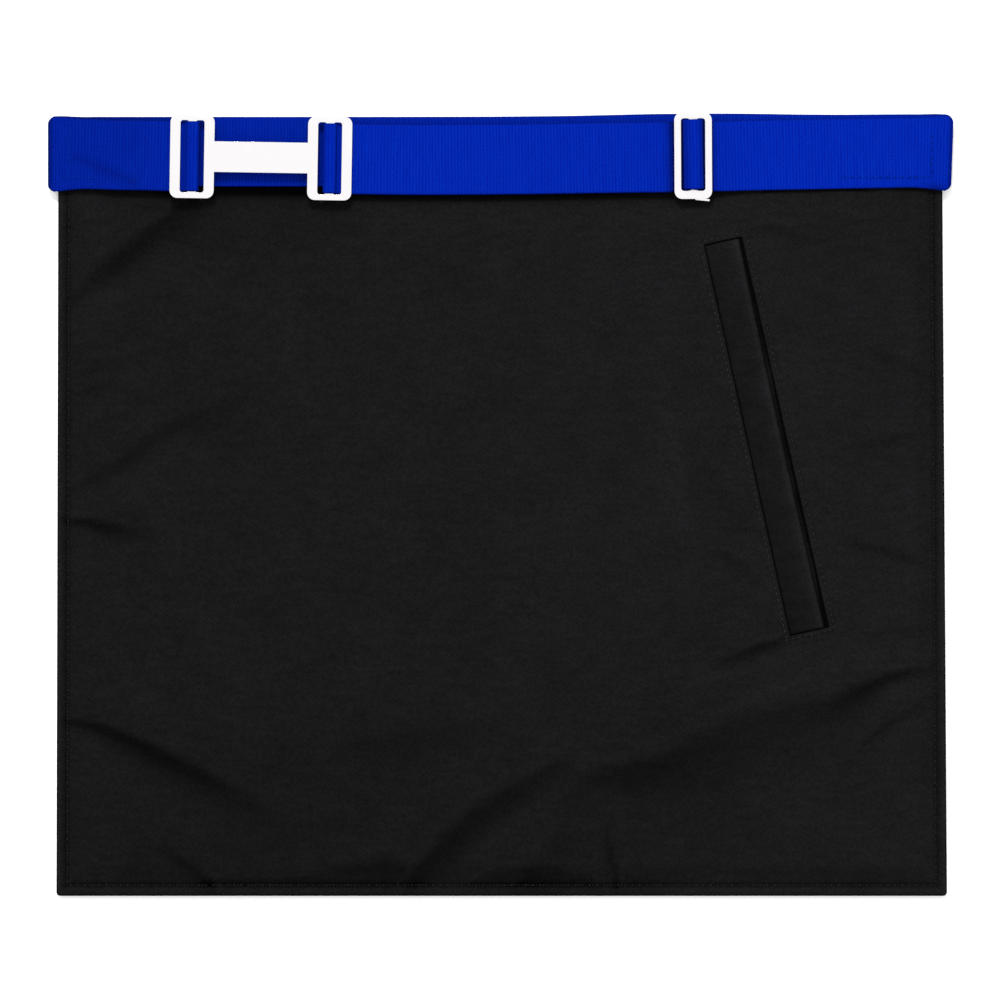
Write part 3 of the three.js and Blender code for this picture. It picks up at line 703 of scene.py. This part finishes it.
def makeWelt():
    left, right, thick = pocket["weltLeft"], pocket["weltRight"], welt["thick"]
    middle, half = (left + right) / 2, (right - left) / 2
    # cross-section: flat below, the cloth's fold at the right, a sunk seam at the left
    section = [(left, 0.0)]
    section += [(u, 0.0) for u in np.linspace(left + 2, right - thick / 2 - 1, 6)]
    for i in range(9):
        angle = -math.pi / 2 + math.pi * i / 8
        section.append((right - thick / 2 * (1 - math.cos(angle)), thick / 2 * (1 + math.sin(angle))))
    for u in np.linspace(right - 1.2, left + 1.4, 16):
        section.append((u, thick + welt["crown"] * math.cos(math.pi * (u - middle) / half / 2.2)))
    section += [(left + 0.7, thick - 0.02), (left + 0.25, thick - 0.25), (left, thick - 0.8)]
    end = pocket["weltEnd"]
    stops = np.concatenate([[-end, -end + 0.2, -end + 0.6, -end + 1.3, -89], np.linspace(-87.5, 87.5, 120),
                            [89, end - 1.3, end - 0.6, end - 0.2, end]])
    points, shades = [], []
    for v in stops:
        toEnd = end - abs(v)
        sink = 0.75 * (1 - ease(0, 1.2, toEnd)) ** 1.6
        back = pocket["weltOpen"] * (1 - (v / end) ** 2)
        for u, z in section:
            top = z > thick * 0.55
            dent = sum(0.9 * deep * math.exp(-((v - at - 0.25 * u) / wide) ** 2)
                       for at, wide, deep in weltDents)
            wave = 0.06 * math.sin(v / 7.3 + u / 6) + 0.05 * math.sin(v / 3.1 + 1) - dent
            level = welt["level"] + (z - (sink if top else 0) + (wave if top and toEnd > 2 else 0))
            points.append((*fromPocket(u - back * ease(-2, 6, u), v), level))
            # painted shade and painted highlight across it and in its dents, with random tone; painted
            # shade at its sunk ends, a little lighter towards its upper end, and painted shade below
            shade = fromTable(weltShade, u) + dent + 0.06 * softNoise(u * 0.6, v, 8, 21)
            shade += 0.5 * (1 - ease(0, 0.5, toEnd)) - 0.08 * ease(55, 88, v)
            shades.append(shade if top else 0.3)
    piece = meshPiece("pocketWelt", points, tubeFaces(len(stops), len(section)))
    paintShade(piece, shades)
    turnOutwards()
    bpy.ops.object.shade_smooth_by_angle(angle=math.radians(50))
    dress(piece, blackTwill("blackTwillWelt", welt["colour"], 0.26, 0.15))
    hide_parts("pocket_welt")


# Stitches: one small loop of thread, copied along a line

# The near-black needle-hole colours are painted shade in the holes, laid on the cloth as flat dark discs
stitch = {"length": 1.7, "hemPitch": 3.25, "pocketPitch": 2.95, "thread": 0.75, "hole": 1.65,
          "hem": "#171718", "pocket": "#1b1b1c", "side": "#1f1f20", "holeShade": "#010101",
          "belt": "#00228c", "beltHoleShade": "#001a7a"}


def stitchShape():
    bpy.ops.object.select_all(action="DESELECT")
    bpy.ops.mesh.primitive_uv_sphere_add(segments=6, ring_count=5, radius=0.5, location=(0, 0, 0))
    shape = bpy.context.object
    points = np.array([v.co for v in shape.data.vertices])
    faces = [tuple(p.vertices) for p in shape.data.polygons]
    bpy.data.objects.remove(shape)
    # laid along x, the ends bent down into the cloth
    points = points[:, [2, 1, 0]] * [1, 1, -1]
    points = points * [stitch["length"], stitch["thread"], stitch["thread"]]
    points[:, 2] -= (points[:, 0] / stitch["length"] * 2) ** 4 * 0.25
    return points, faces


def sewAlong(name, cloth, lines, pitch, material, holeShade, seed):
    # A stitch and, for its needle hole, a flat dark disc of painted shade at each step along the lines,
    # dropped onto the cloth
    shape, shapeFaces = stitchShape()
    flat = shape * [stitch["hole"] / stitch["length"], 1.7, 0.45]
    random = np.random.default_rng(seed)
    points, faces, shadeDiscPoints, shadeDiscFaces = [], [], [], []
    for line in lines:
        line = np.asarray(line, float)
        runs = np.hypot(*(line[1:] - line[:-1]).T)
        travel = np.concatenate([[0], np.cumsum(runs)])
        count = max(1, round(travel[-1] / pitch))
        for i in range(count):
            at = (i + 0.5) * travel[-1] / count
            x, y = (np.interp(at, travel, line[:, k]) for k in range(2))
            found, place, _, _ = cloth.ray_cast(
                Vector(((x + originX) * mm, (y + originY) * mm, 0.05)), Vector((0, 0, -1)))
            if not found:
                continue
            z = place.z / mm + 0.03
            ahead = [np.interp(min(at + 0.5, travel[-1]), travel, line[:, k])
                     - np.interp(max(at - 0.5, 0), travel, line[:, k]) for k in range(2)]
            angle = math.atan2(ahead[1], ahead[0]) + random.normal(0, 0.05)
            c, s = math.cos(angle), math.sin(angle)
            tight = random.uniform(0.65, 1.1)
            drawn = shape * [random.uniform(0.8, 1.05), tight, tight]
            shadeDisc = flat * [random.uniform(0.7, 1.3), random.uniform(0.7, 1.25), 1] + [pitch / 2, 0, -0.03]
            for form, into, sides in ((drawn, points, faces), (shadeDisc, shadeDiscPoints, shadeDiscFaces)):
                placed = np.stack([form[:, 0] * c - form[:, 1] * s + x,
                                   form[:, 0] * s + form[:, 1] * c + y, form[:, 2] + z], 1)
                sides += [tuple(index + len(into) for index in face) for face in shapeFaces]
                into += placed.tolist()
    dress(meshPiece(name + "Thread", points, faces), material)
    # the Holes pieces are these flat dark discs of painted shade
    dress(meshPiece(name + "Holes", shadeDiscPoints, shadeDiscFaces), holeShade)


def sewApron(cloth):
    holeShade = threadFinish("needleHoleShade", stitch["holeShade"])
    inset = lining["hemStitch"]
    ys = np.arange(inset, apron["beltEdge"] + 1, 2.0)
    leftX = middleLine(ys) - halfWidth(ys) + inset
    rightX = middleLine(ys) + halfWidth(ys) - inset
    xs = np.arange(leftX[0], rightX[0], 2.0)
    hem = [(leftX, ys), (rightX, ys), (xs, np.full(xs.shape, inset))]
    out = pocket["stitches"]
    left, right, end = windowLeft - out, windowRight + pocket["stitchesRight"], windowEnd + out
    vs = np.linspace(-end, end, 120)
    us = np.linspace(left - 1.6, right, 16)
    side = [fromPocket(np.full(vs.shape, left), vs)]
    rest = [fromPocket(right + sideLean(vs), vs), fromPocket(us, np.full(us.shape, -end + 0.3)),
            fromPocket(us, np.full(us.shape, end))]
    # the pocket's side row and its other rows are one thread: the side row is painted lighter as painted
    # light, the rest darker as painted shade
    for name, lines, pitch, finish, colour, seed in (
            ("hem", hem, stitch["hemPitch"], "blackSpunThread", stitch["hem"], 3),
            ("pocketSide", side, stitch["pocketPitch"], "blackThreadPaintedLight", stitch["side"], 4),
            ("pocketRound", rest, stitch["pocketPitch"], "blackThreadPaintedShade", stitch["pocket"], 5)):
        sewAlong(name, cloth, [np.stack(line, 1) for line in lines], pitch, threadFinish(finish, colour),
                 holeShade, seed)


makeFlatSheets()
lined = makeLining()
makeWelt()
sewApron(lined)
print("apron body and pocket: done,", len(lined.data.polygons), "lining faces")


# Belt webbing

web = {
    "width": 32.0,
    "thick": 1.2,
    "foldWidth": 34.6,      # it spreads at its folds
    "foldFlare": 18.0,      # over this much of its length
    "foldCorner": 2.7,
    "rightLean": math.radians(-2),
    "foldedEnd": 28.0,      # what is turned back round the clasp's left bar
    "ramp": 8.0,            # from one layer's height to the next
    "step": 1.2,
    "rib": 1.47,            # pitch of the ribs across the web
    "pick": 1.0,            # pitch of the yarn loops along a rib
    # the raised yarn's colour, paler as painted highlight, and below it the grooves' colour, deeper as
    # painted shade
    "colour": "#012592",
    "deep": "#00026c",
}
# The metal bars of the slide and the clasp, and their slots for the web
bars = {
    "thick": 1.8, "middle": 3.0, "slot": 4.0, "play": 0.55,
    "slideSide": 3.1, "slideEnd": 3.25, "slideAcross": 88.35, "slideRise": 0.35, "slideOpen": 0.5,
    "claspSide": 4.6, "claspEnd": 2.6, "claspAcross": -109.5, "claspSpan": 63.0, "claspLink": 14.0,
    "corner": 3.5, "slotCorner": 1.25, "round": 0.6, "slideLean": math.radians(0.3),
}
# The edge of the slide's under plate, which shows below its right corner
plate = {"width": 6.6, "height": 1.0, "thick": 0.7, "corner": 0.3, "across": 4.2, "below": 19.6,
         "sunk": 0.3, "lean": math.radians(-6)}
# Middle of the web in each layer, and the underside of the bars
levels = {"band": 3.7, "back": 5.2, "strap": 6.7, "bar": 7.6, "overBar": 10.3, "overLoop": 11.8}


def leanOf(line, x):
    reach = 6
    return math.atan2(alongLine(line, x + reach) - alongLine(line, x - reach), reach * 2)


# Painted shade on the loop over the slide's bar: it is rounded, so it is painted darker at both sides
loopShade = [(-5.8, 0), (-5.3, 0.75), (-4.6, 0.55), (-3.8, 0.34), (-2.4, 0.22), (-1.0, 0.06), (0.5, 0.0),
             (2.0, 0.04), (3.2, 0.26), (4.2, 0.42), (5.0, 0.7), (5.6, 0)]
# The strap dips where it runs under the slide, and a painted shadow darkens it beside its frame
besideSlide = [(-14.2, 0), (-13, 0.1), (-12.1, 0.17), (-11.2, 0.28), (-10.7, 0.4), (-9.8, 0.6),
               (-9.3, 0.72), (-8.6, 0.8), (8.6, 0.6), (9.0, 0.5), (9.5, 0.33), (10, 0.22), (11, 0.1),
               (12.2, 0)]


def roundedPath(corners):
    # Points along straight runs and round the corners, each given by its place and radius
    points = []

    def goTo(point):
        if points:
            away = (point - points[-1]).length
            if away < 0.03:
                return
            steps = math.ceil(away / web["step"])
            last = points[-1]
            points.extend(last.lerp(point, i / steps) for i in range(1, steps))
        points.append(point)

    for index, (x, z, radius) in enumerate(corners):
        here = Vector((x, z))
        if index in (0, len(corners) - 1):
            goTo(here)
            continue
        back = (Vector(corners[index - 1][:2]) - here).normalized()
        ahead = (Vector(corners[index + 1][:2]) - here).normalized()
        half = math.acos(max(-1, min(1, back.dot(ahead)))) / 2
        middle = here + (back + ahead).normalized() * (radius / math.sin(half))
        start = here + back * (radius / math.tan(half))
        end = here + ahead * (radius / math.tan(half))
        first = math.atan2(start.y - middle.y, start.x - middle.x)
        turn = math.atan2(end.y - middle.y, end.x - middle.x) - first
        turn -= round(turn / (2 * math.pi)) * 2 * math.pi
        steps = max(2, round(abs(turn) / math.radians(15)))
        for i in range(steps + 1):
            angle = first + turn * i / steps
            goTo(middle + Vector((math.cos(angle), math.sin(angle))) * radius)
    return points


def beltPath():
    # From the loose end inside the slide, round the clasp and back over the slide, along the
    # waistband from right to left, and to the clasp again
    pitch = levels["back"] - levels["band"]
    bend, fold = web["thick"], pitch / 2
    claspLeft = bars["claspAcross"] - bars["claspSpan"] / 2
    claspRight = bars["claspAcross"] + bars["claspSpan"] / 2
    slide = bars["slideAcross"]
    loop = bars["middle"] / 2 + 0.3 + web["thick"] / 2
    outer = loop + pitch
    slideEdge = slide + bars["middle"] / 2 + bars["slot"] + bars["slideSide"]
    leftRamp = claspLeft - web["foldedEnd"] - web["ramp"]
    low, mid, strap = levels["band"], levels["back"], levels["strap"]
    over, top = levels["overBar"], levels["overLoop"]

    def overBar(x, reach, start, height, end):
        # Up, across and down again
        return [(x - reach, start, bend), (x - reach, height, bend), (x + reach, height, bend),
                (x + reach, end, bend)]

    return roundedPath([
        (slide + loop / 2, strap, bend), *overBar(slide, loop, strap, over, mid),
        *overBar(claspRight, loop, mid, over, strap),
        *overBar(slide, outer, strap, top, strap), (slideEdge, strap, bend),
        (slideEdge + web["ramp"], mid, bend), (foldAcross, mid, fold), (foldAcross, low, fold),
        (-foldAcross, low, fold), (-foldAcross, mid, fold), (leftRamp - web["ramp"], mid, bend),
        (leftRamp, strap, bend), *overBar(claspLeft, loop, strap, over, mid),
        (claspLeft - web["foldedEnd"], mid, bend),
    ])


def ribbedWeb():
    # Ribbed polyester webbing: matt royal blue, raised ribs across it with fine picks between, deeper in
    # colour in the grooves as painted shade and paler on the raised yarn as painted highlight; its
    # attribute darkens it further with painted shade. The real picks are about 0.5 mm apart, too fine to
    # show in the render, so they are drawn 1 mm apart
    material, add = newMaterial("royalBlueRibbedWebbing")
    uv = add("UVMap", uv_map="web")
    rib = wovenLines(add, uv, web["rib"], 0)
    everyOther = wovenLines(add, uv, web["rib"] * 2, 0)
    picks = wovenLines(add, uv, web["pick"], math.radians(90))
    staggered = add("Math", {0: everyOther, 1: picks}, operation="MULTIPLY")
    yarn = add("TexNoise", {"Vector": uv, "Scale": 1 / (0.7 * mm), "Detail": 2.0})
    drawn = add("Mapping", {"Vector": uv, "Scale": (1, 0.1, 1)})
    streak = add("TexNoise", {"Vector": drawn, "Scale": 1 / (1.6 * mm), "Detail": 2.0})
    streaked = add("Math", {0: streak, 1: 2.6, 2: -1.3}, operation="MULTIPLY_ADD")
    weave = add("Math", {0: staggered, 1: 1.5, 2: rib}, operation="MULTIPLY_ADD")
    streaky = add("Math", {0: weave, 1: streaked}, operation="ADD")
    rough = add("Math", {0: yarn, 1: 5.0, 2: streaky}, operation="MULTIPLY_ADD")
    share = add("MapRange", {"Value": rough, "From Min": -1.4, "From Max": 6.0})
    colour = add("MixRGB", {
        "Fac": share, "Color1": linear(web["deep"]), "Color2": linear(web["colour"])})
    tinted = add("VectorMath", {0: colour, "Scale": pressedIn(add)}, operation="SCALE")
    bump = add("Bump", {"Height": rough, "Strength": 0.6, "Distance": 0.1 * mm})
    shader = add("BsdfPrincipled", {
        "Base Color": tinted, "Roughness": 0.8, "Specular IOR Level": 0.01, "Normal": bump})
    add("OutputMaterial", {"Surface": shader})
    return material


def isBand(z):
    return z < levels["band"] + web["foldCorner"] / 10


def webShade(x, z, a, middle, halfWide, toFold):
    # How much painted shade darkens the web, at the distance a from its middle line: along its edges, as
    # the lower layer, beside its folds and towards its left end; below 0 it is painted light
    shade = 0.3 * (1 - ease(0.1, 0.6, halfWide - abs(a))) + (0.18 if isBand(z) else 0)
    shade += 0.24 * (1 - ease(-175, -120, x)) + 0.4 * (1 - ease(0.2, 2.2, toFold))
    overStrap = levels["strap"] + 1.5
    # painted shade on the loops over the bars
    if z > overStrap:
        reach = bars["claspSpan"] / 2
        barPlaces = [bars["slideAcross"], bars["claspAcross"] - reach, bars["claspAcross"] + reach]
        bar = min(barPlaces, key=lambda place: abs(x - place))
        shade += fromTable(loopShade, x - bar)
    if x > 185:     # painted shadow at the curled lower corner
        shade += 0.5 * math.exp(-((x - 200) / 5) ** 2) * (1 - ease(0.8, 2.8, halfWide + a))
    # painted shadow beside the slide
    if levels["strap"] - 1 < z < overStrap:
        shade += fromTable(besideSlide, x - bars["slideAcross"])
    # painted light: a little lighter towards the right end
    shade -= 0.04 * ease(100, 120, x) * ease(3, 12, toFold)
    if -196 < x < -166:     # painted shade in a slanting crease
        crease = (middle + a - 333.5) + 0.42 * (x + 182)
        shade += 0.16 * math.exp(-(crease / 2.4) ** 2)
    return shade


def makeBelt():
    path = beltPath()
    half = web["thick"] / 2
    # the web's rounded edge: distance from it, and share of half the thickness
    rim = [(0.0, 0.0), (0.1, 0.55), (0.32, 0.86), (0.75, 1.0), (1.7, 1.0)]
    flatFrom = rim[-1][0]
    points, alongs, acrosses, shades = [], [], [], []
    travelled = 0.0
    for index, point in enumerate(path):
        before, after = path[max(0, index - 1)], path[min(len(path) - 1, index + 1)]
        direction = (after - before).normalized()
        if index:
            travelled += (point - path[index - 1]).length
        line = bandLine if isBand(point.y) else strapLine
        middle = alongLine(line, point.x)
        if abs(point.x - bars["slideAcross"]) < 10:
            raised = ease(levels["strap"] + 0.2, levels["strap"] + 1.2, point.y)
            middle += (bars["slideRise"] + bars["slideOpen"]) * raised
        toFold = max(0.0, foldAcross - abs(point.x))
        folded = 1 - ease(0, web["foldFlare"], toFold)
        openLean = leanOf(line, point.x)
        foldLean = web["rightLean"] if point.x > 0 else 0
        lean = openLean + (foldLean - openLean) * folded
        cut = min(1.0, max(0.0, web["foldCorner"] - toFold) / web["foldCorner"])
        cut = web["foldCorner"] * (1 - math.sqrt(1 - cut * cut))
        halfWide = (web["width"] + (web["foldWidth"] - web["width"]) * folded) / 2 - cut
        upper = [(-halfWide + inset, height) for inset, height in rim]
        flat = np.linspace(-halfWide + flatFrom, halfWide - flatFrom, 12)[1:-1]
        upper += [(a, 1.0) for a in flat] + [(halfWide - inset, height) for inset, height in reversed(rim)]
        loop = upper + [(a, -height) for a, height in reversed(upper[1:-1])]
        for a, height in loop:
            out = -height * half
            points.append((point.x - a * math.sin(lean) - out * direction.y,
                           middle + a * math.cos(lean), point.y + out * direction.x))
            alongs.append(travelled)
            acrosses.append(a)
            shades.append(webShade(point.x, point.y, a, middle, halfWide, toFold))
    piece = meshPiece("beltWebbing", points, tubeFaces(len(path), len(loop)))
    turnOutwards()
    bpy.ops.object.shade_smooth_by_angle(angle=math.radians(60))
    paintShade(piece, shades)
    uv = piece.data.uv_layers.new(name="web")
    index = np.zeros(len(piece.data.loops), int)
    piece.data.loops.foreach_get("vertex_index", index)
    pair = np.stack([np.array(alongs)[index] * mm, np.array(acrosses)[index] * mm], 1)
    uv.data.foreach_set("uv", pair.astype(np.float32).ravel())
    dress(piece, ribbedWeb())
    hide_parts("belt_webbing")
    return piece


def sewBelt(cloth):
    # The stitches that hold the belt's folds, sunk into the web
    thread = threadFinish("royalBlueThread", stitch["belt"], 0.01)
    # dark blue discs of painted shade in the needle holes
    holeShade = threadFinish("blueNeedleHoleShade", stitch["beltHoleShade"], 0.01)
    held = [[(-197.4, 333.5), (-197.4, 354.3)], [(-203.5, 329.4), (-183.5, 329.4)],
            [(197.6, 328.7), (197.9, 348.5)], [(155.0, 329.6), (197.6, 329.5)]]
    sewAlong("beltHeld", cloth, held, stitch["hemPitch"], thread, holeShade, 6)


belt = makeBelt()
sewBelt(belt)
print("belt: done,", len(belt.data.polygons), "faces")


# Slide and clasp

def polishedNickel():
    # Die-cast zinc, nickel plated and polished: a bright mirror, with soft edges and fine wear
    material, add = newMaterial("polishedNickelPlate")
    place = add("TexCoord").outputs["Object"]
    wear = add("TexNoise", {"Vector": place, "Scale": 1 / (6 * mm), "Detail": 4.0})
    sheen = add("MapRange", {
        "Value": wear, "From Min": 0.35, "From Max": 0.7, "To Min": 0.1, "To Max": 0.22})
    tarnish = add("MixRGB", {"Fac": wear, "Color1": linear("#e3e1e2"), "Color2": linear("#dad8da")})
    bump = add("Bump", {"Height": wear, "Strength": 0.08, "Distance": 0.1 * mm})
    shader = add("BsdfPrincipled", {
        "Base Color": tarnish, "Metallic": 1.0, "Roughness": sheen, "Normal": bump})
    add("OutputMaterial", {"Surface": shader})
    return material


def roundedBlock(name, width, height, thick, radius, across=0.0, rise=0.0):
    # A block with its four upright edges rounded
    bpy.ops.object.select_all(action="DESELECT")
    bpy.ops.mesh.primitive_cube_add(size=1, location=(across * mm, rise * mm, 0))
    block = bpy.context.object
    block.name = name
    block.scale = (width * mm, height * mm, thick * mm)
    bpy.ops.object.transform_apply(location=True, rotation=False, scale=True)
    bpy.ops.object.mode_set(mode="EDIT")
    bpy.ops.mesh.select_mode(type="EDGE")
    bpy.ops.mesh.select_all(action="DESELECT")
    bpy.ops.object.mode_set(mode="OBJECT")
    for edge in block.data.edges:
        a, b = (block.data.vertices[i].co for i in edge.vertices)
        edge.select = abs(a.z - b.z) > thick * mm / 2
    bpy.ops.object.mode_set(mode="EDIT")
    bpy.ops.mesh.bevel(offset=radius * mm, segments=7, affect="EDGES")
    bpy.ops.object.mode_set(mode="OBJECT")
    return block


def combine(piece, other, operation):
    # Adds the other piece to this one, or takes it away
    modifier = piece.modifiers.new("joined", "BOOLEAN")
    modifier.operation = operation
    modifier.object = other
    modifier.solver = "EXACT"
    bpy.context.view_layer.objects.active = piece
    bpy.ops.object.modifier_apply(modifier=modifier.name)
    bpy.data.objects.remove(other)


def webFrame(name, sideBar, endBar, across=0.0, rise=0.0):
    slotHeight = web["width"] + bars["play"] * 2
    width = bars["middle"] + (bars["slot"] + sideBar) * 2
    body = roundedBlock(name, width, slotHeight + endBar * 2, bars["thick"], bars["corner"], across)
    for side in (-1, 1):
        shift = across + side * (bars["middle"] + bars["slot"]) / 2
        hole = roundedBlock("hole", bars["slot"], slotHeight, bars["thick"] * 3, bars["slotCorner"], shift,
                            rise)
        combine(body, hole, "DIFFERENCE")
    return body


def finishMetal(piece, across, rise, lean, node, material):
    selectOnly(piece)
    rounded = piece.modifiers.new("rounded", "BEVEL")
    rounded.width = bars["round"] * mm
    rounded.segments = 4
    rounded.limit_method = "ANGLE"
    rounded.angle_limit = math.radians(60)
    bpy.ops.object.modifier_apply(modifier=rounded.name)
    bpy.ops.object.shade_smooth_by_angle(angle=math.radians(40))
    middle = alongLine(strapLine, across)
    place = Vector((across + originX, middle + rise + originY, levels["bar"] + bars["thick"] / 2))
    piece.data.transform(Matrix.Translation(place * mm) @ Matrix.Rotation(lean, 4, "Z"))
    dress(piece, material)
    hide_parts(node)


def makeMetal():
    material = polishedNickel()
    slide = webFrame("slideAdjuster", bars["slideSide"], bars["slideEnd"], rise=bars["slideOpen"])
    under = roundedBlock("underPlate", plate["width"], plate["height"], plate["thick"], plate["corner"],
                         plate["across"])
    moved = Matrix.Translation((0, -plate["below"] * mm, -plate["sunk"] * mm))
    under.data.transform(moved @ Matrix.Rotation(plate["lean"], 4, "Z"))
    combine(slide, under, "UNION")
    finishMetal(slide, bars["slideAcross"], bars["slideRise"], bars["slideLean"], "slide_adjuster",
                material)
    reach = bars["claspSpan"] / 2
    clasp = webFrame("claspFrames", bars["claspSide"], bars["claspEnd"], -reach)
    other = webFrame("claspRight", bars["claspSide"], bars["claspEnd"], reach)
    combine(clasp, other, "UNION")
    inner = bars["middle"] / 2 + bars["slot"] + bars["claspSide"] / 2
    link = roundedBlock("claspLink", bars["claspSpan"] - inner * 2, bars["claspLink"], bars["thick"], 0.4)
    combine(clasp, link, "UNION")
    finishMetal(clasp, bars["claspAcross"], 0, leanOf(strapLine, bars["claspAcross"]), "clasp", material)


makeMetal()
print("slide and clasp: done")
